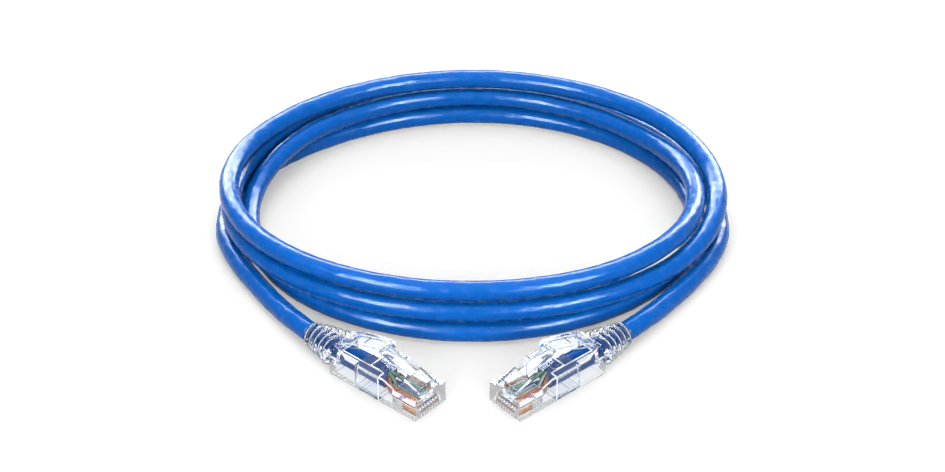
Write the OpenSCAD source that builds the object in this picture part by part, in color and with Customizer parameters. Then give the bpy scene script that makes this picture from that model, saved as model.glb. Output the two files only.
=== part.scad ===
// Ethernet patch cable, coiled on a table: three and a half turns of round cable, and at each
// end an 8P8C modular plug in a clear slip-on boot with a sprung latch and a latch guard.
// Millimetres. X to the right, Y away from the plugs' noses, Z up. The origin is on the table,
// midway between the two plugs. The right-hand end is the mirror image of the left-hand end.
// A plug's own frame: nose at x = 0, cable towards -x, contacts at the bottom, latch on top.

/* [Cable] */
// Outer diameter of the cable's jacket
cable_d = 5.7; // [5:0.1:6]
// Diameter of one insulated conductor
wire_d = 0.9; // [0.75:0.05:0.9]

/* [Plug] */
// Width of the plug
plug_w = 11.68; // [11.4:0.02:12.4]
// Length of the plug
plug_l = 21.5; // [20.5:0.1:23]
// Height of the plug at its nose
nose_h = 6.6; // [6.4:0.1:7]
// Height of the plug where the cable enters
rear_h = 8; // [7.9:0.1:8.6]
// Distance between neighbouring contacts
pitch = 1.02; // [1:0.01:1.04]
// Thickness of a contact blade
blade_t = 0.35; // [0.25:0.01:0.45]
// Height of the conductors above the plug's underside
row_z = 3.17; // [3:0.05:3.4]
// Length of cable jacket inside the plug
jacket_grip = 7.1; // [6.8:0.1:8]
// Thickness of the plug's floor under the jacket
floor_t = 1.1; // [1:0.05:1.2]

/* [Latch] */
// Thickness of the latch
latch_t = 1.1; // [0.9:0.05:1.15]
// Width of the latch near the nose
latch_w = 6.4; // [5.8:0.1:6.6]
// Width of the latch's lever
lever_w = 3.6; // [2.8:0.05:3.8]
// Length of the latch's wide part
catch_l = 5.6; // [5:0.1:7]
// Length of the whole latch from its root
latch_l = 16; // [15.4:0.1:16.1]
// Drop from the underside of the guard's lip to the middle of the latch's tip at rest
latch_drop = 0.959; // [0.95:0.001:1.2]

/* [Boot] */
// Wall thickness of the boot
boot_t = 0.6; // [0.5:0.05:0.8]
// Distance from the nose to the boot's front edge
boot_front = 13; // [12.6:0.1:14]
// Distance from the nose to the end of the boot's sleeve
sleeve_end = 31.2; // [30.6:0.1:32]
// Distance from the nose to the end of the boot's tail
boot_end = 43; // [42:0.1:44]
// Number of ribs on the boot's tail
rib_count = 5; // [4:1:5]
// Thickness of one rib
rib_t = 1.1; // [0.8:0.05:1.2]
// Thickness of the latch guard
guard_t = 0.7; // [0.6:0.05:0.8]
// Height of the latch guard's front lip above the table
guard_h = 14.5; // [14.5:0.1:15.5]

/* [Place on the table] */
// Angle between a plug and the X axis, in degrees
heading = 41; // [40:0.5:42]
// Distance of each nose from the middle, in X
nose_x = 9.6; // [9:0.1:11]
// Distance of each nose from the origin towards the viewer, in Y
nose_y = 13.3; // [12.8:0.1:13.8]

/* [Hidden] */
$fn = 48;

// Clearances: pieces that are fixed to each other, and pieces that turn in each other
snug = 0.02;
run = 0.05;
// Overlap of a cutting tool past the face it cuts
over = 0.1;

// ---- The coil -------------------------------------------------------------------------------

coil_centre = [1.3, 73.7];
// One row for each quarter turn, starting at the left and going clockwise from above: the
// coil's reach from its centre there, its fullness half way to the next, where an ellipse has 1,
// its height there, and its height half way to the next. The first strand lies on the table;
// the second and third turn climb over it.
turns = [
    [72.2, 0.970,  2.85,  2.85], [56.4, 1.000,  2.85,  2.85], [65.6, 1.000,  2.85,  2.85],
    [56.4, 1.000,  2.85,  2.85], [65.2, 0.985,  5.20,  9.00], [56.8, 0.985,  9.00,  9.00],
    [65.0, 1.020, 12.10, 15.20], [54.6, 1.000, 15.20, 15.20], [70.8, 0.988, 15.20, 15.20],
    [57.4, 0.985, 15.20, 15.20], [71.4, 1.000, 12.10,  9.00], [55.6, 1.000,  9.00,  9.00],
    [70.6, 1.000,  9.00,  9.00], [62.8, 1.000,  7.00,  5.60], [72.3, 1.000,  2.85,  2.85]
];
coil_sides = 6;
rings_per_quarter = 6;
quarters = len(turns) - 1;

// Heights at every eighth of a turn, and the slope of the curve through them, which is level
// wherever the heights stop rising or falling
heights = [for (t = turns) each [t[2], t[3]]];
function rise(i) = heights[i + 1] - heights[i];
function slope(i) =
    i <= 0 || i >= len(heights) - 1 || rise(i - 1) * rise(i) <= 0 ? 0
    : 2 * rise(i - 1) * rise(i) / (rise(i - 1) + rise(i));
function height_at(eighth) =
    let (i = min(floor(eighth), len(heights) - 2), f = eighth - i)
    heights[i] * (1 + 2 * f) * (1 - f) * (1 - f) + heights[i + 1] * f * f * (3 - 2 * f)
    + slope(i) * f * (1 - f) * (1 - f) - slope(i + 1) * f * f * (1 - f);

// Outward direction at the start of quarter turn k: left, back, right, front
function outward(k) = [-cos(90 * k), sin(90 * k)];

// Point at ring i, where each quarter turn is a quarter of an ellipse, fuller or flatter half way
function coil_point(i) =
    let (k = min(floor(i / rings_per_quarter), quarters - 1), f = i / rings_per_quarter - k,
         fullness = 1 + (turns[k][1] - 1) * pow(sin(180 * f), 2))
    let (flat = coil_centre + fullness * (cos(90 * f) * turns[k][0] * outward(k)
                                        + sin(90 * f) * turns[k + 1][0] * outward(k + 1)))
    [flat.x, flat.y, height_at(2 * (k + f))];

coil_rings = [for (i = [0 : quarters * rings_per_quarter]) coil_point(i)];
// Each end of the coil runs straight on, towards the plugs, for one cable diameter
straight_run = [0, -cable_d, 0];
coil_start = coil_rings[0] + straight_run;
coil_finish = coil_rings[len(coil_rings) - 1] + straight_run;
coil_path = concat([coil_start], coil_rings, [coil_finish]);

// Least gap between strands, measured between rings that are at least a quarter turn apart
coil_gap = min([for (i = [0 : len(coil_path) - 1], j = [i + rings_per_quarter : 1 : len(coil_path) - 1])
    norm(coil_path[i] - coil_path[j])]) - cable_d;
echo(least_gap_between_strands = coil_gap);

// ---- Sweeping a round tube along points ------------------------------------------------------

function unit(v) = v / norm(v);
function tangent(path, i) = unit(path[min(i + 1, len(path) - 1)] - path[max(i - 1, 0)]);

// Ring of points square to a direction, with a flat side downwards
function ring(centre, direction, d, sides) =
    let (side = unit(cross(direction, [0, 0, 1])), up = cross(side, direction))
    [for (a = [0 : sides - 1]) let (angle = 360 * (a + 0.5) / sides - 90)
        centre + d / 2 * (cos(angle) * side + sin(angle) * up)];

// Unbroken tube along a path. The first and last rings face the directions given.
module tube(path, d, sides, first, last) {
    count = len(path);
    rings = [for (i = [0 : count - 1])
        ring(path[i], i == 0 ? first : i == count - 1 ? last : tangent(path, i), d, sides)];
    points = [for (r = rings) each r];
    wall = [for (i = [0 : count - 2], a = [0 : sides - 1])
        let (b = (a + 1) % sides, p = i * sides, q = p + sides)
        each [[p + a, q + a, q + b], [p + a, q + b, p + b]]];
    near_cap = [for (a = [1 : sides - 2]) [0, a, a + 1]];
    far = (count - 1) * sides;
    far_cap = [for (a = [1 : sides - 2]) [far, far + a + 1, far + a]];
    polyhedron(points, concat(wall, near_cap, far_cap));
}

module cable_coil() {
    color("royalblue") tube(coil_path, cable_d, coil_sides, [0, 1, 0], [0, -1, 0]);
}

// ---- Where a plug lies -----------------------------------------------------------------------

module at_left() {
    translate([-nose_x, -nose_y, 0]) rotate([0, 0, -heading]) children();
}

module at_right() {
    mirror([1, 0, 0]) at_left() children();
}

// A point of the left plug's frame, and its forward direction, in the part's frame
forward = [cos(heading), -sin(heading), 0];
function on_left(p) = [-nose_x, -nose_y, p.z] + p.x * forward
    + p.y * [sin(heading), cos(heading), 0];
function mirrored(p) = [-p.x, p.y, p.z];

// ---- The leads, from the coil to the boots ---------------------------------------------------

lead_sides = 8;
jacket_z = floor_t + cable_d / 2 + snug;
tail_end = on_left([-boot_end, 0, jacket_z]);
// Chosen points along each lead, from the coil's end to the boot. The right plug lies a little
// nearer to the coil's middle than the left one.
left_points = [
    [-69.9, 61.0, 2.85], [-67.1, 53.4, 2.85], [-63.5, 46.1, 2.85], [-59.5, 39.4, 2.85],
    [-55.6, 33.1, 2.9], [-52.1, 27.8, 3.1], [-49.6, 24.2, 3.4], [-47.1, 20.8, 3.8]
];
right_points = [
    [72.7, 61.5, 2.85], [70.4, 54.6, 2.85], [67.0, 47.7, 2.85], [62.9, 41.0, 2.85],
    [58.5, 34.7, 2.9], [54.3, 29.0, 3.1], [51.0, 24.8, 3.4], [47.7, 20.8, 3.8]
];

module left_lead() {
    color("royalblue")
        tube(concat([coil_start], left_points, [tail_end]), cable_d, lead_sides,
            [0, -1, 0], forward);
}

module right_lead() {
    color("royalblue")
        tube(concat([coil_finish], right_points, [mirrored(tail_end)]), cable_d, lead_sides,
            [0, -1, 0], mirrored(forward));
}

// ---- Shapes used by the plug's pieces --------------------------------------------------------

// Side outline (x, z) given a width across the plug
module slab(width, outline) {
    rotate([90, 0, 0]) linear_extrude(height = width, center = true) polygon(outline);
}

// Plan outline (x, y) given a height range
module plan(low, high, outline) {
    translate([0, 0, low]) linear_extrude(height = high - low) polygon(outline);
}

// Cross section (y, z) drawn from x = from to x = to, where from is the rearmost
module section(from, to, outline) {
    translate([from, 0, 0]) rotate([90, 0, 90]) linear_extrude(height = to - from)
        polygon(outline);
}

// Rod across the plug, or a rod along it
module cross_rod(x, z, r, width) {
    translate([x, 0, z]) rotate([90, 0, 0]) cylinder(r = r, h = width, center = true);
}

module long_rod(from, to, z, r) {
    translate([from, 0, z]) rotate([0, 90, 0]) cylinder(r = r, h = to - from);
}

// Rectangle in a cross section with rounded corners, each an arc of corner_steps steps
corner_steps = 5;
function rounded(half_w, low, high, r) =
    [for (c = [[1, 1], [-1, 1], [-1, -1], [1, -1]], s = [0 : corner_steps])
        let (f = c.x * c.y > 0 ? s : corner_steps - s, a = 90 * f / corner_steps)
        [c.x * (half_w - r + r * cos(a)),
         (c.y > 0 ? high - r : low + r) + c.y * r * sin(a)]];

// ---- The plug's housing ----------------------------------------------------------------------

contacts = 8;
function row_y(i) = (i - (contacts + 1) / 2) * pitch;

// The roof rises from the nose to the cable end along this ramp
ramp_front = 8;
ramp_rear = 12;
nose_bevel = 0.4;
// Underside behind the nose, which the boot's floor fills flush
boot_recess = boot_t;

latch_root_r = 0.8;
latch_root_x = 1.3;
latch_root_rise = 0.9;
latch_root_z = nose_h + latch_root_rise;
saddle_margin = 0.3;
saddle_w = latch_w + 2 * saddle_margin;
// Slope at which the latch's tip comes to rest under the guard
latch_slope = asin((guard_h - guard_t - latch_drop - latch_root_z) / latch_l);

// Row of conductors, and the chamber behind it
row_front = 1.6;
row_rear = 8.9;
row_slack = 0.03;
chamber_w = 9.2;
chamber_top = floor_t + cable_d + 2 * snug;
funnel_rear = 12.5;
funnel_h = 5.5;

// Slot for each contact, open at the nose and underneath
slot_rear = 5.9;
slot_w = blade_t + 0.1;
slot_top = row_z - wire_d / 2;

// Where the jacket is cut, and the window in the roof for the strain bar
jacket_cut = plug_l - jacket_grip;
bar_setback = 1;
bar_l = 3;
bar_front = jacket_cut + bar_setback;
bar_rear = bar_front + bar_l;
bar_w = 6;
bar_bite = 0.3;
bar_sunk = 0.5;
bar_chamfer = 0.4;

module plug_housing() {
    color("aliceblue") difference() {
        union() {
            slab(plug_w, [
                [-nose_bevel, 0], [0, nose_bevel], [0, nose_h], [-ramp_front, nose_h],
                [-ramp_rear, rear_h], [-plug_l, rear_h], [-plug_l, boot_recess],
                [-boot_front, boot_recess], [-boot_front, 0]
            ]);
            slab(saddle_w, [
                [0, nose_h - over], [0, latch_root_z], [-latch_root_x, latch_root_z],
                [-latch_root_x, nose_h - over]
            ]);
        }
        cross_rod(-latch_root_x, latch_root_z, latch_root_r + run, saddle_w + over);
        slab(chamber_w, [
            [-plug_l - over, floor_t], [-plug_l - over, chamber_top], [-funnel_rear, chamber_top],
            [-row_rear, funnel_h], [-row_rear, floor_t]
        ]);
        slab((contacts - 1) * pitch + wire_d + 2 * row_slack, [
            [-row_rear - over, row_z - wire_d / 2], [-row_rear - over, row_z + wire_d / 2 + row_slack],
            [-row_front, row_z + wire_d / 2 + row_slack], [-row_front, row_z - wire_d / 2]
        ]);
        for (i = [1 : contacts])
            translate([0, row_y(i), 0]) slab(slot_w, [
                [-slot_rear, -over], [-slot_rear, slot_top + over], [over, slot_top + over],
                [over, -over]
            ]);
        slab(bar_w, [
            [-bar_rear, chamber_top - over], [-bar_rear, rear_h + over],
            [-bar_front, rear_h + over], [-bar_front, chamber_top - over]
        ]);
    }
}

// ---- Pieces inside the plug ------------------------------------------------------------------

// Contact blade: flat on top against its conductor, with a rounded nose corner
blade_front = 0.55;
blade_rear = 5.9;
blade_low = 0.45;
blade_corner = 1.1;
corner_arc = [for (a = [0 : 15 : 90])
    [-blade_front - blade_corner * (1 - cos(a)), blade_low + blade_corner * (1 - sin(a))]];

module contact(i) {
    color("gold") translate([0, row_y(i), 0])
        slab(blade_t, concat([[-blade_rear, slot_top], [-blade_front, slot_top]], corner_arc,
            [[-blade_rear, blade_low]]));
}

// Cable jacket from the boot's tail to its cut end in the plug, pressed flat by the strain bar
module jacket_end() {
    color("royalblue") difference() {
        long_rod(-boot_end, -jacket_cut, jacket_z, cable_d / 2);
        slab(cable_d + over, [
            [-bar_rear, jacket_z + cable_d / 2 - bar_bite], [-bar_rear, chamber_top + over],
            [-bar_front, chamber_top + over], [-bar_front, jacket_z + cable_d / 2 - bar_bite]
        ]);
    }
}

// Bar that is pushed through the roof's window into the jacket
module strain_bar() {
    low = jacket_z + cable_d / 2 - bar_bite;
    color("lightcyan") slab(bar_w - 2 * snug, [
        [-bar_rear + snug, low], [-bar_rear + snug, rear_h - bar_sunk],
        [-bar_rear + 2 * bar_chamfer, rear_h],
        [-bar_front - snug, rear_h], [-bar_front - snug, low]
    ]);
}

// Bar that holds the conductors down where they enter their row
wire_bar_l = 0.9;
wire_bar_h = 1.1;

module wire_bar() {
    low = row_z + wire_d / 2 + snug;
    color("lightcyan") slab(chamber_w - 2 * snug, [
        [-row_rear - wire_bar_l, low], [-row_rear - wire_bar_l, low + wire_bar_h],
        [-row_rear - snug, low + wire_bar_h], [-row_rear - snug, low]
    ]);
}

// ---- Conductors ------------------------------------------------------------------------------

wire_sides = 6;
wire_steps = 7;
fan_front = row_rear + wire_bar_l;
tip_gap = 0.2;
wire_tip = row_front + tip_gap;
// How far each pair lies from the cable's axis where it leaves the jacket
pair_reach = 1.5;
half_twin = 0.54;

function blend(f) = f * f * (3 - 2 * f);
function mix(a, b, f) = a * (1 - f) + b * f;

// Point of a conductor, f of the way from the jacket to the row. from is the angle of its pair
// round the cable's axis, twist the angle of the conductor round its pair, and a and b are the
// two places in the row that the pair goes to. side is 1 for the conductor that goes to b.
function wire_point(f, from, twist, a, b, side) =
    let (e = blend(f),
         centre = mix(pair_reach * [cos(from), sin(from)] + [0, jacket_z],
                      [(row_y(a) + row_y(b)) / 2, row_z], e),
         apart = side * mix(half_twin, (row_y(b) - row_y(a)) / 2, e),
         angle = twist * (1 - e))
    [mix(-jacket_cut, -fan_front, f), centre.x + apart * cos(angle), centre.y + apart * sin(angle)];

module wire(from, twist, a, b, side) {
    fan = [for (s = [0 : wire_steps]) wire_point(s / wire_steps, from, twist, a, b, side)];
    tip = [-wire_tip, fan[wire_steps].y, fan[wire_steps].z];
    tube(concat(fan, [tip]), wire_d, wire_sides, [1, 0, 0], [1, 0, 0]);
}

module pair(from, twist, a, b) {
    wire(from, twist, a, b, -1);
    wire(from, twist, a, b, 1);
}

module orange_pair() {
    color("darkorange") pair(180, -120, 1, 2);
}

module green_pair() {
    color("seagreen") pair(90, 0, 3, 6);
}

module blue_pair() {
    color("mediumblue") pair(270, 0, 4, 5);
}

module brown_pair() {
    color("sienna") pair(0, 120, 7, 8);
}

// ---- The latch -------------------------------------------------------------------------------

// Drawn level and then tilted up about its root, whose axis crosses the plug's nose
module latch() {
    color("aliceblue") translate([-latch_root_x, 0, latch_root_z]) rotate([0, latch_slope, 0])
        union() {
            rotate([90, 0, 0]) cylinder(r = latch_root_r, h = latch_w, center = true);
            translate([-catch_l, -latch_w / 2, -latch_t / 2]) cube([catch_l, latch_w, latch_t]);
            translate([-latch_l, -lever_w / 2, -latch_t / 2]) cube([latch_l, lever_w, latch_t]);
        }
}

// ---- The boot --------------------------------------------------------------------------------

sleeve_w = plug_w + 2 * boot_t;
sleeve_h = rear_h + boot_t;
shoulder_l = 3.5;
shoulder = sleeve_end - shoulder_l;
shoulder_taper = 0.2;
shoulder_w = sleeve_w - 2 * shoulder_taper;
neck_w = 11.6;
sleeve_corner = 1.2;

// Slanted cut on each upper rear corner of the sleeve
slant_l = 7.7;
slant_in = 2.5;
slant_lean = 22;

// Opening in the sleeve's roof, which the latch and its guard are pressed down into
roof_w = 7.6;
roof_land = 3.3;
roof_rear = sleeve_end - roof_land;

// Hollow between the plug and the tail, round the jacket
hollow_w = 8.4;
hollow_low = 0.9;
hollow_step = 0.1;
hollow_high = rear_h - hollow_step;
end_wall = 1.9;
hollow_rear = sleeve_end - end_wall;

// Notches in the sleeve's lower edges
notch_w = 1.1;
notch_h = 0.65;
notches = [14, 19.5];

guard_root_r = 0.7;
guard_setback = 2.2;
guard_root_x = sleeve_end - guard_setback;
guard_root_rise = 0.4;
guard_root_z = sleeve_h + guard_root_rise;
guard_saddle_w = 7.2;
saddle_foot = 0.6;

tail_t = 0.5;
tail_r = cable_d / 2 + snug + tail_t;
rib_gap = 2.3;
rib_first = sleeve_end + rib_gap;
rib_last = boot_end;
rib_wide = 5.6;
rib_narrow = 3.75;
rib_r = 3.35;
// Height of a rib above and below the cable's axis, at the sleeve and at the end of the tail
rib_high = 3.85;
rib_flat = 3.45;
web_h = 1.6;
web_in = 0.3;
web_in_rear = 0.2;

module rib(i) {
    f = i / (rib_count - 1);
    front = -mix(rib_first, rib_last - rib_t, f);
    half = mix(rib_high, rib_flat, f);
    section(front - rib_t, front,
        rounded(mix(rib_wide, rib_narrow, f), jacket_z - half, jacket_z + half, rib_r));
}

module tail() {
    long_rod(-boot_end, -sleeve_end + over, jacket_z, tail_r);
    for (i = [0 : rib_count - 1]) rib(i);
    plan(jacket_z - web_h / 2, jacket_z + web_h / 2, [
        [-sleeve_end + over, -rib_wide + web_in], [-sleeve_end + over, rib_wide - web_in],
        [-rib_last, rib_narrow - web_in_rear], [-rib_last, -rib_narrow + web_in_rear]
    ]);
}

module sleeve() {
    intersection() {
        section(-sleeve_end, -boot_front, rounded(sleeve_w / 2, 0, sleeve_h, sleeve_corner));
        plan(-over, sleeve_h + over, [
            [-boot_front, -sleeve_w / 2], [-boot_front, sleeve_w / 2], [-shoulder, shoulder_w / 2],
            [-sleeve_end, neck_w / 2], [-sleeve_end, -neck_w / 2], [-shoulder, -shoulder_w / 2]
        ]);
    }
}

module slants() {
    for (side = [0, 1]) mirror([0, side, 0])
        translate([slant_l - sleeve_end, sleeve_w / 2, sleeve_h])
            rotate([0, 0, atan(slant_in / slant_l)]) rotate([slant_lean, 0, 0])
                translate([-2 * slant_l, 0, -sleeve_h]) cube([2 * slant_l, sleeve_w, 2 * sleeve_h]);
}

module boot() {
    color("lightcyan") difference() {
        union() {
            difference() {
                sleeve();
                slants();
            }
            tail();
            slab(guard_saddle_w, [
                [-guard_root_x, sleeve_h - over], [-guard_root_x, guard_root_z],
                [-sleeve_end + saddle_foot, guard_root_z], [-sleeve_end, sleeve_h - over]
            ]);
        }
        slab(plug_w + 2 * snug, [
            [-plug_l - snug, boot_recess - snug], [-plug_l - snug, rear_h + snug],
            [-boot_front + over, rear_h + snug], [-boot_front + over, boot_recess - snug]
        ]);
        slab(hollow_w, [
            [-hollow_rear, hollow_low], [-hollow_rear, hollow_high],
            [-plug_l, hollow_high], [-plug_l, hollow_low]
        ]);
        slab(roof_w, [
            [-roof_rear, hollow_high - over], [-roof_rear, sleeve_h + over],
            [-boot_front + over, sleeve_h + over], [-boot_front + over, hollow_high - over]
        ]);
        long_rod(-boot_end - over, -plug_l, jacket_z, cable_d / 2 + snug);
        cross_rod(-guard_root_x, guard_root_z, guard_root_r + run, guard_saddle_w + over);
        for (x = notches)
            translate([-x, 0, 0]) cube([notch_w, sleeve_w + over, 2 * notch_h], center = true);
    }
}

// ---- The latch guard -------------------------------------------------------------------------

// Arched flap over the latch's tip. Its root lies across the rear of the sleeve's roof.
lip_x = 14.6;
lip_l = 0.9;
lip_drop = 0.4;
lip_top_x = lip_x + lip_l;
guard_rear_w = 6.8;
skirt_t = 0.7;
lever_gap = 0.15;
lip_w = lever_w + 2 * (lever_gap + skirt_t);
skirt_h = 1.6;
// Slot in the guard's top, its floor just above the guard's underside
dimple_w = 3.6;
dimple_front = 20.3;
dimple_rear = 22;
dimple_depth = 0.35;

// Upper edge of the guard's side, from the slanted front lip to the root. Behind the lip the
// guard falls evenly, and its last point lies in front of the root.
guard_rise = guard_h - guard_root_z;
guard_mid_x = 22;
guard_hinge_l = 1.5;
guard_last_x = guard_root_x - guard_hinge_l;
pocket_rear = 0.3;
guard_back = [
    [-lip_x, guard_h - lip_drop], [-lip_top_x, guard_h],
    [-guard_mid_x, guard_h - 0.34 * guard_rise],
    [-guard_last_x, guard_h - 0.7 * guard_rise]
];
guard_root = [-guard_root_x, guard_root_z];
function lowered(points, by) = [for (p = points) [p.x, p.y - by]];
function backwards(points) = [for (i = [len(points) - 1 : -1 : 0]) points[i]];

module guard_plan(inset) {
    plan(guard_root_z - 1, guard_h + 1, [
        [-lip_x + over, -lip_w / 2 + inset], [-lip_x + over, lip_w / 2 - inset],
        [-guard_root_x - 1, guard_rear_w / 2 - inset], [-guard_root_x - 1, -guard_rear_w / 2 + inset]
    ]);
}

module latch_guard() {
    // Depth of the guard's top at x, measured from the lip's height
    function fall(x) = 0.34 * guard_rise * (x - lip_top_x) / (guard_mid_x - lip_top_x);
    color("aliceblue") difference() {
        union() {
            intersection() {
                slab(guard_saddle_w, concat(guard_back, [guard_root + [0, guard_root_r], guard_root],
                    lowered(backwards(guard_back), skirt_h)));
                guard_plan(0);
            }
            cross_rod(guard_root.x, guard_root.y, guard_root_r, guard_rear_w);
        }
        intersection() {
            slab(guard_saddle_w, concat(lowered(guard_back, guard_t),
                [[-guard_last_x - pocket_rear, guard_root_z - 2], [over - lip_x, guard_root_z - 2],
                 [over - lip_x, guard_h - lip_drop - guard_t]]));
            guard_plan(skirt_t);
        }
        slab(dimple_w, [
            [-dimple_rear, guard_h], [-dimple_rear, guard_h - fall(dimple_rear) - dimple_depth],
            [-dimple_front, guard_h - fall(dimple_front) - dimple_depth], [-dimple_front, guard_h]
        ]);
    }
}

// ---- The nodes -------------------------------------------------------------------------------

module both_ends(name) {
    at_left() children();
    at_right() children();
}

cable_coil();
left_lead();
right_lead();
both_ends("plug_housing") plug_housing();
both_ends("latch") latch();
both_ends("boot") boot();
both_ends("latch_guard") latch_guard();
both_ends("jacket_end") jacket_end();
both_ends("strain_bar") strain_bar();
both_ends("wire_bar") wire_bar();
both_ends("orange_pair") orange_pair();
both_ends("green_pair") green_pair();
both_ends("blue_pair") blue_pair();
both_ends("brown_pair") brown_pair();
for (i = [1 : contacts]) both_ends(str("contact_", i)) contact(i);
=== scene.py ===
"""Ethernet patch cable, coiled on a white table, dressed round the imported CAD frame.

Lengths are written in millimetres and turned into metres by mm(). A plug's own frame has its
nose at x = 0, the cable towards -x, the contacts at the bottom and the latch on top, as in
part.scad. The right-hand end is the mirror image of the left-hand end.
"""
import math

import bmesh
import bpy
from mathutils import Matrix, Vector, noise


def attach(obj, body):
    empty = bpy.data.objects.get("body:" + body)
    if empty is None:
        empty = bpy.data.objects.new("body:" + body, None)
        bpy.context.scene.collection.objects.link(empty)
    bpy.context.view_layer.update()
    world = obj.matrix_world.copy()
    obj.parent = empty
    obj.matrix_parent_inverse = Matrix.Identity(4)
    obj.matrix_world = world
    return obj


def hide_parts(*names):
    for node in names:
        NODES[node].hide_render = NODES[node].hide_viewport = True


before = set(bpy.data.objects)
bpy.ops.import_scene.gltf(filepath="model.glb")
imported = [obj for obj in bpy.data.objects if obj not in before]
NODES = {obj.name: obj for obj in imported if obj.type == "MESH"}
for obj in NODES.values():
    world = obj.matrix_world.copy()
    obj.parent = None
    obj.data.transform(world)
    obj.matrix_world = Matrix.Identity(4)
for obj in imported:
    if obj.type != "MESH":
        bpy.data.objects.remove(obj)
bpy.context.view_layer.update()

MILLIMETRE = 0.001
ROOT = "cable_and_plugs"
SIDES = ("left", "right")


def mm(*lengths):
    """Lengths in millimetres as a vector in metres."""
    return Vector(lengths) * MILLIMETRE


# ---- Sizes shared with part.scad -------------------------------------------------------------

CABLE_D = 5.7
COIL_CENTRE = (1.3, 73.7)
# Reach, fullness half way, height and height half way to the next row, for each quarter turn
TURNS = [
    (72.2, 0.970, 2.85, 2.85), (56.4, 1.000, 2.85, 2.85), (65.6, 1.000, 2.85, 2.85),
    (56.4, 1.000, 2.85, 2.85), (65.2, 0.985, 5.20, 9.00), (56.8, 0.985, 9.00, 9.00),
    (65.0, 1.020, 12.10, 15.20), (54.6, 1.000, 15.20, 15.20), (70.8, 0.988, 15.20, 15.20),
    (57.4, 0.985, 15.20, 15.20), (71.4, 1.000, 12.10, 9.00), (55.6, 1.000, 9.00, 9.00),
    (70.6, 1.000, 9.00, 9.00), (62.8, 1.000, 7.00, 5.60), (72.3, 1.000, 2.85, 2.85),
]
# Chosen points of each lead, from the coil to the boot
LEFT_LEAD = [
    (-69.9, 61.0, 2.85), (-67.1, 53.4, 2.85), (-63.5, 46.1, 2.85), (-59.5, 39.4, 2.85),
    (-55.6, 33.1, 2.9), (-52.1, 27.8, 3.1), (-49.6, 24.2, 3.4), (-47.1, 20.8, 3.8),
]
RIGHT_LEAD = [
    (72.7, 61.5, 2.85), (70.4, 54.6, 2.85), (67.0, 47.7, 2.85), (62.9, 41.0, 2.85),
    (58.5, 34.7, 2.9), (54.3, 29.0, 3.1), (51.0, 24.8, 3.4), (47.7, 20.8, 3.8),
]
# How far the plugs' noses point outward from straight ahead, and where they lie
HEADING = math.radians(41)
NOSE_X, NOSE_Y = 9.6, 13.3
# Distances behind the nose
WIRE_TIP = 1.8
FAN_FRONT = 9.8
JACKET_CUT = 14.4
BOOT_END = 43
# Heights of the jacket's middle in the boot and of the conductors in their row
JACKET_Z = 3.97
ROW_Z = 3.17
CONTACTS = 8
PITCH = 1.02
WIRE_D = 0.9
# At the jacket's cut: from its middle to that of a pair, and from there to that of a wire
PAIR_REACH = 1.5
HALF_TWIN = 0.54


def on_left(x, y, z):
    """A point of the left plug's frame in the row's frame, in millimetres."""
    c, s = math.cos(HEADING), math.sin(HEADING)
    return (-NOSE_X + x * c + y * s, -NOSE_Y - x * s + y * c, z)


def mirrored(p):
    """The point of the right-hand end for one of the left-hand end."""
    return (-p[0], p[1], p[2])


def place(side, p):
    """A point of a plug's frame in the row's frame, in metres."""
    left = on_left(*p)
    return mm(*(left if side == "left" else mirrored(left)))


# ---- Camera ----------------------------------------------------------------------------------

# Fitted to the photograph: its width and focal length in pixels, and the point looked at
PHOTO_W = 945
FOCAL_PX = 2100
CAMERA_ELEVATION = math.radians(35)
CAMERA_DISTANCE = 615
LOOK_AT = (1.3, 66.8, 0)
SENSOR_W = 36
# Nearest and farthest that the camera sees, in metres
CLIP = (0.01, 20)


def make_camera():
    """Camera that sees the object as the photograph does."""
    data = bpy.data.cameras.new("camera")
    data.sensor_width = SENSOR_W
    data.lens = SENSOR_W * FOCAL_PX / PHOTO_W
    data.clip_start, data.clip_end = CLIP
    cam = bpy.data.objects.new("camera", data)
    bpy.context.scene.collection.objects.link(cam)
    away = Vector((0, -math.cos(CAMERA_ELEVATION), math.sin(CAMERA_ELEVATION)))
    cam.location = mm(*LOOK_AT) + away * CAMERA_DISTANCE * MILLIMETRE
    cam.rotation_euler = away.to_track_quat("Z", "Y").to_euler()
    bpy.context.scene.camera = cam


# ---- Cable route -----------------------------------------------------------------------------

STEPS_PER_QUARTER = 84
STEPS_PER_LEAD_SPAN = 6


def coil_heights():
    """The heights of TURNS in one row, one for each eighth turn."""
    return [h for turn in TURNS for h in turn[2:]]


def height_slope(heights, i):
    """Slope of the height curve at an eighth turn; level wherever the rise stops or turns."""
    if i <= 0 or i >= len(heights) - 1:
        return 0
    before, after = heights[i] - heights[i - 1], heights[i + 1] - heights[i]
    return 0 if before * after <= 0 else 2 * before * after / (before + after)


def height_at(heights, eighth):
    """Height of the smooth curve through the heights, so many eighth turns from its start."""
    i = min(int(eighth), len(heights) - 2)
    f = eighth - i
    return (heights[i] * (1 + 2 * f) * (1 - f) ** 2 + heights[i + 1] * f * f * (3 - 2 * f)
            + height_slope(heights, i) * f * (1 - f) ** 2
            - height_slope(heights, i + 1) * f * f * (1 - f))


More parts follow.
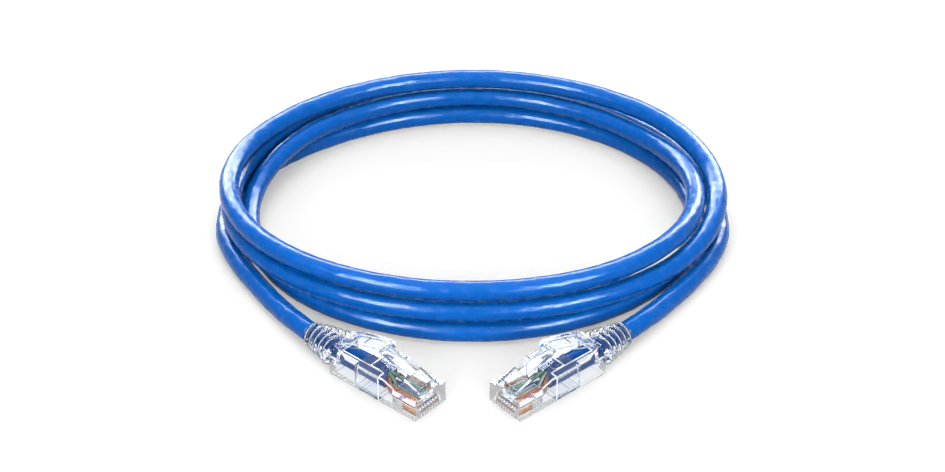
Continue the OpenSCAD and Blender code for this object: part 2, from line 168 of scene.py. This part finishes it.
def coil_points():
    """Points of the coil, clockwise from the left, each quarter turn about a quarter ellipse."""
    heights = coil_heights()
    outward = [(-1, 0), (0, 1), (1, 0), (0, -1)]
    points = []
    quarters = len(TURNS) - 1
    for i in range(quarters * STEPS_PER_QUARTER + 1):
        k = min(i // STEPS_PER_QUARTER, quarters - 1)
        f = i / STEPS_PER_QUARTER - k
        a, b = outward[k % 4], outward[(k + 1) % 4]
        fullness = 1 + (TURNS[k][1] - 1) * math.sin(math.pi * f) ** 2
        ca = math.cos(math.pi / 2 * f) * TURNS[k][0] * fullness
        cb = math.sin(math.pi / 2 * f) * TURNS[k + 1][0] * fullness
        points.append((COIL_CENTRE[0] + ca * a[0] + cb * b[0],
                       COIL_CENTRE[1] + ca * a[1] + cb * b[1],
                       height_at(heights, 2 * (k + f))))
    return points


def smooth_through(points, before, after, steps):
    """Catmull-Rom curve through points, with the neighbours before and after its ends."""
    p = [Vector(q) for q in [before] + list(points) + [after]]
    curve = []
    for i in range(1, len(p) - 2):
        for s in range(steps):
            t = s / steps
            curve.append(0.5 * (2 * p[i] + (p[i + 1] - p[i - 1]) * t
                                + (2 * p[i - 1] - 5 * p[i] + 4 * p[i + 1] - p[i + 2]) * t * t
                                + (3 * p[i] - p[i - 1] - 3 * p[i + 1] + p[i + 2]) * t ** 3))
    return curve


def cable_route():
    """Whole free cable, from the left boot round the coil to the right boot, in metres."""
    coil = coil_points()
    start = (coil[0][0], coil[0][1] - CABLE_D, coil[0][2])
    finish = (coil[-1][0], coil[-1][1] - CABLE_D, coil[-1][2])
    tail = on_left(-BOOT_END, 0, JACKET_Z)
    beyond = on_left(-BOOT_END + CABLE_D, 0, JACKET_Z)
    left = [tail] + LEFT_LEAD[::-1] + [start]
    right = [finish] + RIGHT_LEAD + [mirrored(tail)]
    lead_in = smooth_through(left, beyond, coil[0], STEPS_PER_LEAD_SPAN)
    lead_out = smooth_through(right, coil[-1], mirrored(beyond), STEPS_PER_LEAD_SPAN)
    return ([mm(*p) for p in lead_in] + [mm(*start)] + [mm(*p) for p in coil]
            + [mm(*p) for p in lead_out] + [mm(*mirrored(tail))])


# ---- Materials -------------------------------------------------------------------------------

def srgb(r, g, b):
    """Colour from 0 to 255 values as seen on a screen, in Blender's linear values."""
    def linear(v):
        v /= 255
        return v / 12.92 if v <= 0.04045 else ((v + 0.055) / 1.055) ** 2.4
    return (linear(r), linear(g), linear(b), 1)


# Light that the clear plastic lets through to the floor
SHADOW_TINT = (0.84, 0.842, 0.848, 1)
# Unevenness of the jacket: its spots to a metre of cable and to a turn round it
TONE_SPOTS = (160, 5, 1)
RIPPLE_SPOTS = (240, 5, 1)
RIPPLE_SLANT = (0, 0, 0.02)
RIPPLE_DEPTH = 0.0004
JACKET_ROUGHNESS = (0.15, 0.33)
# The grain's middle values, between which the roughness changes
GRAIN_RANGE = (0.38, 0.62)
# Colour of the jacket's reflections, which look cyan in the photograph
COOL_GLINT = (0.7, 0.92, 1.0, 1)
# Share of a wire's turn that its stripe covers
STRIPE_WIDTH = 0.3
GOLD = srgb(184, 144, 114)
GOLD_ROUGHNESS = (0.18, 0.35)


class Nodes:
    """Short names for building a node tree."""

    def __init__(self, name):
        self.material = bpy.data.materials.new(name)
        self.material.use_nodes = True
        self.tree = self.material.node_tree
        self.tree.nodes.clear()
        self.out = self.tree.nodes.new("ShaderNodeOutputMaterial")

    def add(self, kind, inputs=(), **settings):
        """New node, with each input linked where it is given a socket, and set otherwise."""
        node = self.tree.nodes.new("ShaderNode" + kind)
        for key, value in settings.items():
            setattr(node, key, value)
        for key, value in dict(inputs).items():
            if isinstance(value, bpy.types.NodeSocket):
                self.tree.links.new(value, node.inputs[key])
            else:
                node.inputs[key].default_value = value
        return node

    def surface(self, socket):
        """The finished material, with the socket as its surface."""
        self.tree.links.new(socket, self.out.inputs["Surface"])
        return self.material


def jacket_material(name, darker, lighter, gloss):
    """Glossy blue PVC, slightly uneven in tone and sheen, with the ripple of extrusion."""
    n = Nodes(name)
    uv = n.add("UVMap", uv_map="along")
    patch_space = n.add("Mapping", {"Vector": uv.outputs["UV"], "Scale": TONE_SPOTS})
    patches = n.add("TexNoise", {"Vector": patch_space.outputs["Vector"], "Scale": 1.0,
                                 "Detail": 3.0})
    tone = n.add("MixRGB", {"Fac": patches.outputs["Fac"], "Color1": darker, "Color2": lighter})
    ripple_space = n.add("Mapping", {"Vector": uv.outputs["UV"], "Scale": RIPPLE_SPOTS,
                                     "Rotation": RIPPLE_SLANT})
    ripple = n.add("TexNoise", {"Vector": ripple_space.outputs["Vector"], "Scale": 1.0,
                                "Detail": 2.0})
    grain = n.add("TexNoise", {"Vector": ripple_space.outputs["Vector"], "Scale": 1.5,
                               "Detail": 1.0})
    waves = n.add("Bump", {"Height": ripple.outputs["Fac"], "Strength": 0.5,
                           "Distance": RIPPLE_DEPTH})
    rough = n.add("MapRange", {
        "Value": grain.outputs["Fac"], "From Min": GRAIN_RANGE[0], "From Max": GRAIN_RANGE[1],
        "To Min": JACKET_ROUGHNESS[0], "To Max": JACKET_ROUGHNESS[1],
    })
    soft = n.add("BsdfPrincipled", {
        "Base Color": tone.outputs["Color"], "Roughness": rough.outputs["Result"],
        "Normal": waves.outputs["Normal"], "Specular IOR Level": gloss, "Coat Weight": gloss / 2,
        "Coat Roughness": 0.12, "Specular Tint": COOL_GLINT,
    })
    return n.surface(soft.outputs["BSDF"])


def clear_material(name, tint, roughness, ior):
    """Clear moulded plastic that refracts a little, with faint flow lines and a glossy skin.

    Shadow rays pass, so that what is inside is lit and the floor's shadow is pale.
    """
    n = Nodes(name)
    coords = n.add("TexCoord")
    flow = n.add("TexNoise", {"Vector": coords.outputs["Object"], "Scale": 420.0, "Detail": 2.0})
    bump = n.add("Bump", {"Height": flow.outputs["Fac"], "Strength": 0.12, "Distance": 0.0002})
    glass = n.add("BsdfPrincipled", {
        "Base Color": tint, "Roughness": roughness, "IOR": ior, "Transmission Weight": 1.0,
        "Normal": bump.outputs["Normal"],
    })
    return lit_through(n, glass)


def painted_edge_material(name, tint, painted_light_share):
    """Rounded edges of the clear plastic, made partly opaque and diffuse: painted light, a pale
    tint for the bright lines that the edges gather and look white, a grey one for their dark
    outlines.
    """
    n = Nodes(name)
    bright = n.add("BsdfPrincipled", {
        "Base Color": tint, "Roughness": 0.2, "IOR": 1.3, "Transmission Weight": 1.0 - painted_light_share,
    })
    return lit_through(n, bright)


def lit_through(n, shader):
    """The shader's surface, with the shadow rays let through."""
    through = n.add("BsdfTransparent", {"Color": SHADOW_TINT})
    path = n.add("LightPath")
    mix = n.add("MixShader", {0: path.outputs["Is Shadow Ray"], 1: shader.outputs["BSDF"],
                              2: through.outputs["BSDF"]})
    return n.surface(mix.outputs["Shader"])


def insulation_material(name, colour, stripe=None):
    """Conductor insulation, with a lengthwise stripe where it is given."""
    n = Nodes(name)
    uv = n.add("UVMap", uv_map="along")
    base = colour
    if stripe:
        split = n.add("SeparateXYZ", {"Vector": uv.outputs["UV"]})
        band = n.add("Math", {0: split.outputs["Y"], 1: STRIPE_WIDTH}, operation="LESS_THAN")
        mixed = n.add("MixRGB", {"Fac": band.outputs["Value"], "Color1": colour, "Color2": stripe})
        base = mixed.outputs["Color"]
    shade = n.add("BsdfPrincipled", {"Base Color": base, "Roughness": 0.35})
    return n.surface(shade.outputs["BSDF"])


def gold_material():
    """Gold plating, with a roughness that varies a little."""
    n = Nodes("gold_contact")
    coords = n.add("TexCoord")
    wear = n.add("TexNoise", {"Vector": coords.outputs["Object"], "Scale": 900.0})
    rough = n.add("MapRange", {"Value": wear.outputs["Fac"], "To Min": GOLD_ROUGHNESS[0],
                               "To Max": GOLD_ROUGHNESS[1]})
    shade = n.add("BsdfPrincipled", {"Base Color": GOLD, "Metallic": 1.0,
                                     "Roughness": rough.outputs["Result"]})
    return n.surface(shade.outputs["BSDF"])


# ---- Tubes -----------------------------------------------------------------------------------

def tube_mesh(name, path, radius, sides, lumps=None, across=None):
    """Closed tube along a path in metres, with a UV map that runs along it in metres.

    Lumps gives the share by which the radius changes at a length travelled and an angle. A path
    that goes straight up somewhere needs across, the direction that is square to its plane.
    """
    count = len(path)
    mesh = bpy.data.meshes.new(name)
    bm = bmesh.new()
    rings, travelled = [], [0.0]
    for i in range(1, count):
        travelled.append(travelled[-1] + (path[i] - path[i - 1]).length)
    for i, centre in enumerate(path):
        direction = (path[min(i + 1, count - 1)] - path[max(i - 1, 0)]).normalized()
        side = across or direction.cross(Vector((0, 0, 1))).normalized()
        up = side.cross(direction)
        ring = []
        for a in range(sides):
            angle = 2 * math.pi * a / sides
            r = radius * (1 + (lumps(travelled[i], angle) if lumps else 0))
            ring.append(bm.verts.new(centre + r * (math.cos(angle) * side + math.sin(angle) * up)))
        rings.append(ring)
    uv = bm.loops.layers.uv.new("along")
    for i in range(count - 1):
        for a in range(sides):
            b = (a + 1) % sides
            face = bm.faces.new((rings[i][a], rings[i + 1][a], rings[i + 1][b], rings[i][b]))
            face.smooth = True
            for loop, (s, t) in zip(face.loops, ((i, a), (i + 1, a), (i + 1, a + 1), (i, a + 1))):
                loop[uv].uv = (travelled[s], t / sides)
    bm.faces.new(rings[0][::-1])
    bm.faces.new(rings[-1])
    bm.normal_update()
    bmesh.ops.recalc_face_normals(bm, faces=bm.faces)
    bm.to_mesh(mesh)
    bm.free()
    return mesh


def new_piece(name, mesh, material, body=ROOT):
    """Object of one material that rides on a body."""
    piece = bpy.data.objects.new(name, mesh)
    bpy.context.scene.collection.objects.link(piece)
    mesh.materials.clear()
    mesh.materials.append(material)
    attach(piece, body)
    return piece


# ---- The cable -------------------------------------------------------------------------------

CABLE_SIDES = 32
# Lengths in metres of one turn of the four pairs, of one twist of a pair, and of a dent
LAY, TWIST, DENT = 0.095, 0.0125, 0.0038
# What each of them does to the radius, as a share of it
LAY_LUMP, TWIST_LUMP, DENT_DEPTH = 0.010, 0.005, 0.032


def jacket_lumps(travelled, angle):
    """The twisted pairs show through the jacket as faint lumps that wind round it."""
    pairs = LAY_LUMP * math.cos(4 * angle - 2 * math.pi * travelled / LAY)
    twists = TWIST_LUMP * math.sin(2 * math.pi * travelled / TWIST + 2 * angle)
    spot = Vector((math.cos(angle), math.sin(angle), travelled / DENT))
    return pairs + twists + DENT_DEPTH * noise.noise(spot)


def make_cable(material):
    """The whole free cable as one tube, which goes back into a boot at both ends."""
    route = cable_route()
    mesh = tube_mesh("cable", route, CABLE_D / 2 * MILLIMETRE, CABLE_SIDES, jacket_lumps)
    cable = new_piece("cable", mesh, material)
    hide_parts("cable_coil", "left_lead", "right_lead")


# ---- Conductors ------------------------------------------------------------------------------

# Pair name, its angle round the cable, its twist, and its two places in the row
PAIRS = [
    ("orange", 180, -120, 1, 2), ("green", 90, 0, 3, 6),
    ("blue", 270, 0, 4, 5), ("brown", 0, 120, 7, 8),
]
COLOURS = {
    "orange": srgb(255, 122, 64), "green": srgb(16, 146, 108),
    "blue": srgb(34, 84, 196), "brown": srgb(140, 86, 52),
}
WHITE = srgb(238, 238, 232)
FAN_STEPS = 24
WIRE_SIDES = 12


def row_y(i):
    """Where conductor i lies across the row of eight."""
    return (i - (CONTACTS + 1) / 2) * PITCH


def mix(a, b, f):
    """The value at share f of the way from a to b."""
    return a * (1 - f) + b * f


def wire_path(side, angle, twist, a, b, sign):
    """Centreline of one conductor, from the jacket's cut end to the tip of its row."""
    points = []
    for s in range(FAN_STEPS + 1):
        f = s / FAN_STEPS
        e = f * f * (3 - 2 * f)
        y = mix(PAIR_REACH * math.cos(math.radians(angle)), (row_y(a) + row_y(b)) / 2, e)
        z = mix(PAIR_REACH * math.sin(math.radians(angle)) + JACKET_Z, ROW_Z, e)
        apart = sign * mix(HALF_TWIN, (row_y(b) - row_y(a)) / 2, e)
        turn = math.radians(twist) * (1 - e)
        points.append((mix(-JACKET_CUT, -FAN_FRONT, f), y + apart * math.cos(turn),
                       z + apart * math.sin(turn)))
    points.append((-WIRE_TIP, points[-1][1], points[-1][2]))
    return [place(side, p) for p in points]


def make_wires():
    """Two round wires in place of each pair, one plain and one white with a stripe."""
    for name, angle, twist, a, b in PAIRS:
        plain = insulation_material(name + "_insulation", COLOURS[name])
        striped = insulation_material("white_" + name + "_insulation", WHITE, COLOURS[name])
        for side in SIDES:
            node = f"{side}_{name}_pair"
            for sign, material, label in ((-1, striped, "striped"), (1, plain, "plain")):
                path = wire_path(side, angle, twist, a, b, sign)
                mesh = tube_mesh(node, path, WIRE_D / 2 * MILLIMETRE, WIRE_SIDES)
                piece = new_piece(f"{side}_{name}_{label}_wire", mesh, material)
                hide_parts(node)


# ---- Clear pieces ----------------------------------------------------------------------------

# Widths of the rounded edges of the hard pieces and of the boot, and the rows of faces in them
HARD_EDGE, SOFT_EDGE = 0.13, 0.2
EDGE_ROWS = 2
# An edge that turns less than the first lies in a flat face, and one that turns more than the
# second is rounded off
FLAT, SHARP = math.radians(1), math.radians(30)
SAME_VERTEX = 1e-7


def bevelled_copy(node, material, edge, body, width):
    """Copy of a CAD node's shape with its sharp edges rounded off, which replaces the node.

    The rounded edges have a material of their own.
    """
    mesh = NODES[node].data.copy()
    bm = bmesh.new()
    bm.from_mesh(mesh)
    bmesh.ops.remove_doubles(bm, verts=bm.verts, dist=SAME_VERTEX)
    bmesh.ops.dissolve_limit(bm, angle_limit=FLAT, verts=bm.verts, edges=bm.edges)
    bm.to_mesh(mesh)
    bm.free()
    piece = new_piece(node + "_moulding", mesh, material, body)
    mesh.materials.append(edge)
    bevel = piece.modifiers.new("edges", "BEVEL")
    bevel.width = width * MILLIMETRE
    bevel.segments = EDGE_ROWS
    bevel.material = mesh.materials.find(edge.name)
    bevel.limit_method = "ANGLE"
    bevel.angle_limit = SHARP
    bevel.use_clamp_overlap = True
    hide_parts(node)


def make_plugs(jacket, gold):
    """Everything at the two ends apart from the conductors."""
    housing = clear_material("clear_housing", srgb(250, 252, 255), roughness=0.1, ior=1.2)
    boot = clear_material("clear_boot", srgb(248, 251, 255), roughness=0.04, ior=1.18)
    # Painted light on the rounded edges: grey is painted shade for the dark outlines of the
    # housing, bars, latch and guard, and near white is a painted highlight for the bright lines
    # along the boot's edges and ribs
    painted_shade_edge = painted_edge_material("housing_edge_painted_shade", srgb(112, 118, 130), painted_light_share=0.45)
    painted_highlight_edge = painted_edge_material("boot_edge_painted_highlight", srgb(232, 238, 246), painted_light_share=0.85)
    for side in SIDES:
        for i in range(1, CONTACTS + 1):
            contact = NODES[f"{side}_contact_{i}"].data
            contact.materials.clear()
            contact.materials.append(gold)
        for part, material, edge, body, width in (
                ("plug_housing", housing, painted_shade_edge, ROOT, HARD_EDGE),
                ("boot", boot, painted_highlight_edge, ROOT, SOFT_EDGE),
                ("strain_bar", housing, painted_shade_edge, ROOT, HARD_EDGE),
                ("wire_bar", housing, painted_shade_edge, ROOT, HARD_EDGE),
                ("latch", housing, painted_shade_edge, side + "_latch", HARD_EDGE),
                ("latch_guard", boot, painted_shade_edge, side + "_latch_guard", HARD_EDGE)):
            bevelled_copy(f"{side}_{part}", material, edge, body, width)
        make_rib_highlight_strips(side, painted_highlight_edge)
        # The jacket's end gets the darker, duller copy: painted shade under the boot
        make_jacket_end(side, jacket)


# Crests of the ribs on the boot's tail, from the rib at the sleeve to the rib at the tail's end
RIBS = 5
RIB_X = (-34.05, -42.45)
RIB_HALF_WIDTH = (5.6, 3.75)
RIB_HALF_HEIGHT = (3.85, 3.45)
RIB_CORNER = 3.35
# The painted highlight strip on a crest, and how deep its middle lies in it
HIGHLIGHT_STRIP_D = 0.42
HIGHLIGHT_STRIP_SUNK = 0.12
HIGHLIGHT_STRIP_SIDES = 8
# Degrees of each lower corner that the bead goes round, and its steps to a corner
UNDER = 60
CORNER_STEPS = 12
SAME_POINT = 0.01


def rib_arc(side, f):
    """Route of the painted highlight strip on one rib's crest, from the table on one side over to
    the other.
    """
    half_width = mix(*RIB_HALF_WIDTH, f) - HIGHLIGHT_STRIP_SUNK
    half_height = mix(*RIB_HALF_HEIGHT, f) - HIGHLIGHT_STRIP_SUNK
    corner = min(RIB_CORNER, half_height) - HIGHLIGHT_STRIP_SUNK
    out_y, out_z = half_width - corner, half_height - corner
    points = []
    for centre_y, centre_z, start, sweep in (
            (out_y, -out_z, -UNDER, UNDER), (out_y, out_z, 0, 90),
            (-out_y, out_z, 90, 90), (-out_y, -out_z, 180, UNDER)):
        for s in range(CORNER_STEPS + 1):
            a = math.radians(start + sweep * s / CORNER_STEPS)
            points.append((mix(*RIB_X, f), centre_y + corner * math.cos(a),
                           JACKET_Z + centre_z + corner * math.sin(a)))
    distinct = points[:1] + [b for a, b in zip(points, points[1:]) if math.dist(a, b) > SAME_POINT]
    return [place(side, p) for p in distinct]


def make_rib_highlight_strips(side, material):
    """A thin strip sunk in each rib's crest, in the pale edge material: a painted highlight for
    the bright line that the crest gathers.
    """
    axis = (place(side, (1, 0, 0)) - place(side, (0, 0, 0))).normalized()
    for i in range(RIBS):
        path = rib_arc(side, i / (RIBS - 1))
        mesh = tube_mesh("rib_painted_highlight", path, HIGHLIGHT_STRIP_D / 2 * MILLIMETRE, HIGHLIGHT_STRIP_SIDES, across=axis)
        painted_highlight = new_piece(f"{side}_boot_rib_{i + 1}_bead", mesh, material)


# Points of the jacket inside the boot
JACKET_END_X = (-BOOT_END, -40, -35, -30, -25, -20, -16, -JACKET_CUT)


def make_jacket_end(side, material):
    """The cable's end inside the boot, up to the cut from which the pairs fan out."""
    path = [place(side, (x, 0, JACKET_Z)) for x in JACKET_END_X]
    mesh = tube_mesh("jacket_end", path, CABLE_D / 2 * MILLIMETRE, CABLE_SIDES)
    piece = new_piece(side + "_jacket_end_skin", mesh, material)
    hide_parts(side + "_jacket_end")


# ---- Floor and light -------------------------------------------------------------------------

FLOOR_SIZE = 6.0
TABLE = (0.88, 0.88, 0.88, 1)
PURE_WHITE = (1, 1, 1, 1)
# Brightness of the table and of the room, seen straight, in a reflection and through the plastic
FLOOR_GLOW = (0.35, 0.44, 0.38)
ROOM = (0.94, 0.58, 0.67)
# What keeps the table white where the lamps don't reach, from near to far in metres
FAR_GLOW = 0.32
NEAR, FAR = 0.25, 0.8
# What the room adds to every ray
AMBIENT = 0.06
# The point that the lamps face
AIM = (0, 60, 0)
# The kinds of ray that don't see a lamp which is there for reflections, or for light alone
ONLY_REFLECTED = ("diffuse", "transmission")
NOT_REFLECTED = ("glossy", "transmission")
# Lamps on the middle line, then those that stand on both sides: their places and sizes in
# metres, their watts, and the kinds of ray that don't see them
MIDDLE_LAMPS = [
    ("back_panel", (0, 1.08, 0.74), (1.3, 0.36), 33, ONLY_REFLECTED),
    ("back_fill", (0, 0.82, 0.4), (0.7, 0.3), 3.4, NOT_REFLECTED),
]
SIDE_LAMPS = [
    ("key", (0.34, -0.66, 0.34), (0.3, 0.24), 2.5, ()),
    ("glint", (0.42, -0.5, 0.5), (0.26, 0.44), 17.0, ONLY_REFLECTED),
    ("sheen", (0.56, 1.0, 0.4), (0.42, 0.42), 11.0, ONLY_REFLECTED),
]
OVERHEAD_STRENGTH = 1.35
OVERHEAD_SPREAD = math.radians(65)
OVERHEAD_FROM = (0, 0.1, 1)


def math_node(tree, operation, a, b):
    """Result of a sum on two values or sockets."""
    node = tree.nodes.new("ShaderNodeMath")
    node.operation = operation
    for socket, value in zip(node.inputs, (a, b)):
        if isinstance(value, bpy.types.NodeSocket):
            tree.links.new(value, socket)
        else:
            socket.default_value = value
    return node.outputs[0]


def ways_of_seeing(tree):
    """1 for a straight look, for a look in a reflection and for a look through the plastic.

    Rays that carry light from the surroundings to a dull surface get 0 for all three.
    """
    path = tree.nodes.new("ShaderNodeLightPath")
    first = math_node(tree, "LESS_THAN", path.outputs["Diffuse Depth"], 0.5)
    return [math_node(tree, "MULTIPLY", path.outputs[way], first)
            for way in ("Is Camera Ray", "Is Glossy Ray", "Is Transmission Ray")]


def weighted(tree, ways, weights):
    """Sum of the ways of seeing, each times its weight."""
    parts = [math_node(tree, "MULTIPLY", way, weight) for way, weight in zip(ways, weights)]
    return math_node(tree, "ADD", math_node(tree, "ADD", parts[0], parts[1]), parts[2])


def make_floor():
    """White table: it keeps the object's soft shadow, and is white to the camera elsewhere."""
    n = Nodes("white_table")
    ways = ways_of_seeing(n.tree)
    white = n.add("BsdfDiffuse", {"Color": TABLE})
    coords = n.add("TexCoord")
    distance = n.add("VectorMath", {0: coords.outputs["Object"]}, operation="LENGTH")
    far = n.add("MapRange", {"Value": distance.outputs["Value"], "From Min": NEAR,
                             "From Max": FAR, "To Min": 0.0, "To Max": FAR_GLOW})
    far_seen = math_node(n.tree, "MULTIPLY", ways[0], far.outputs["Result"])
    near_seen = weighted(n.tree, ways, FLOOR_GLOW)
    glow = n.add("Emission", {"Color": PURE_WHITE,
                              "Strength": math_node(n.tree, "ADD", near_seen, far_seen)})
    lit = n.add("AddShader", {0: white.outputs["BSDF"], 1: glow.outputs["Emission"]})
    material = n.surface(lit.outputs["Shader"])
    mesh = bpy.data.meshes.new("table")
    h = FLOOR_SIZE / 2
    mesh.from_pydata([(-h, -h, 0), (h, -h, 0), (h, h, 0), (-h, h, 0)], [], [(0, 1, 2, 3)])
    mesh.materials.append(material)
    table = bpy.data.objects.new("table", mesh)
    bpy.context.scene.collection.objects.link(table)


def make_world():
    """Plain white room: dim as a light, and white or pale where it is seen."""
    world = bpy.data.worlds.new("studio")
    world.use_nodes = True
    bpy.context.scene.world = world
    tree = world.node_tree
    tree.nodes.clear()
    out = tree.nodes.new("ShaderNodeOutputWorld")
    light = tree.nodes.new("ShaderNodeBackground")
    light.inputs["Color"].default_value = PURE_WHITE
    shown = weighted(tree, ways_of_seeing(tree), ROOM)
    tree.links.new(math_node(tree, "ADD", shown, AMBIENT), light.inputs["Strength"])
    tree.links.new(light.outputs[0], out.inputs["Surface"])


def area_light(name, location, size, power, unseen_by):
    """Lamp that faces the coil, and that some kinds of ray don't see."""
    data = bpy.data.lights.new(name, "AREA")
    data.shape = "RECTANGLE"
    data.size, data.size_y = size
    data.energy = power
    lamp = bpy.data.objects.new(name, data)
    bpy.context.scene.collection.objects.link(lamp)
    lamp.location = location
    lamp.rotation_euler = (Vector(location) - mm(*AIM)).to_track_quat("Z", "Y").to_euler()
    for ray in unseen_by:
        setattr(lamp, "visible_" + ray, False)


def make_lights():
    """Two keys in front, a fill at the back and a soft light overhead.

    The back panel, the glints in front and the sheens behind only show as reflections in the
    jacket and the plastic.
    """
    for name, place_m, size, power, unseen_by in MIDDLE_LAMPS:
        area_light(name, place_m, size, power, unseen_by)
    for side, sign in zip(SIDES, (-1, 1)):
        for name, (x, y, z), size, power, unseen_by in SIDE_LAMPS:
            area_light(f"{side}_{name}", (sign * x, y, z), size, power, unseen_by)
    data = bpy.data.lights.new("overhead", "SUN")
    data.energy = OVERHEAD_STRENGTH
    data.angle = OVERHEAD_SPREAD
    overhead = bpy.data.objects.new("overhead", data)
    bpy.context.scene.collection.objects.link(overhead)
    overhead.rotation_euler = Vector(OVERHEAD_FROM).to_track_quat("Z", "Y").to_euler()


# ---- Making the scene ------------------------------------------------------------------------

# Enough for light to pass the walls of a boot, a plug and what lies in it, and out again
BOUNCES = 24
SHADOW_BOUNCES = 32

make_camera()
jacket = jacket_material("blue_jacket", darker=srgb(0, 110, 222), lighter=srgb(5, 124, 240),
                         gloss=0.15)
# Darker copy of the jacket, with most of its gloss gone, for its end in the boot: painted shade
# for the boot over it
painted_shade_jacket = jacket_material("blue_jacket_in_boot_painted_shade", darker=srgb(0, 108, 220),
                          lighter=srgb(4, 120, 236), gloss=0.06)
make_cable(jacket)
make_wires()
make_plugs(painted_shade_jacket, gold_material())
make_floor()
make_world()
make_lights()
scene = bpy.context.scene
scene.view_settings.view_transform = "Standard"
scene.cycles.max_bounces = BOUNCES
scene.cycles.transmission_bounces = BOUNCES
scene.cycles.glossy_bounces = BOUNCES
scene.cycles.diffuse_bounces = 0
scene.cycles.transparent_max_bounces = SHADOW_BOUNCES
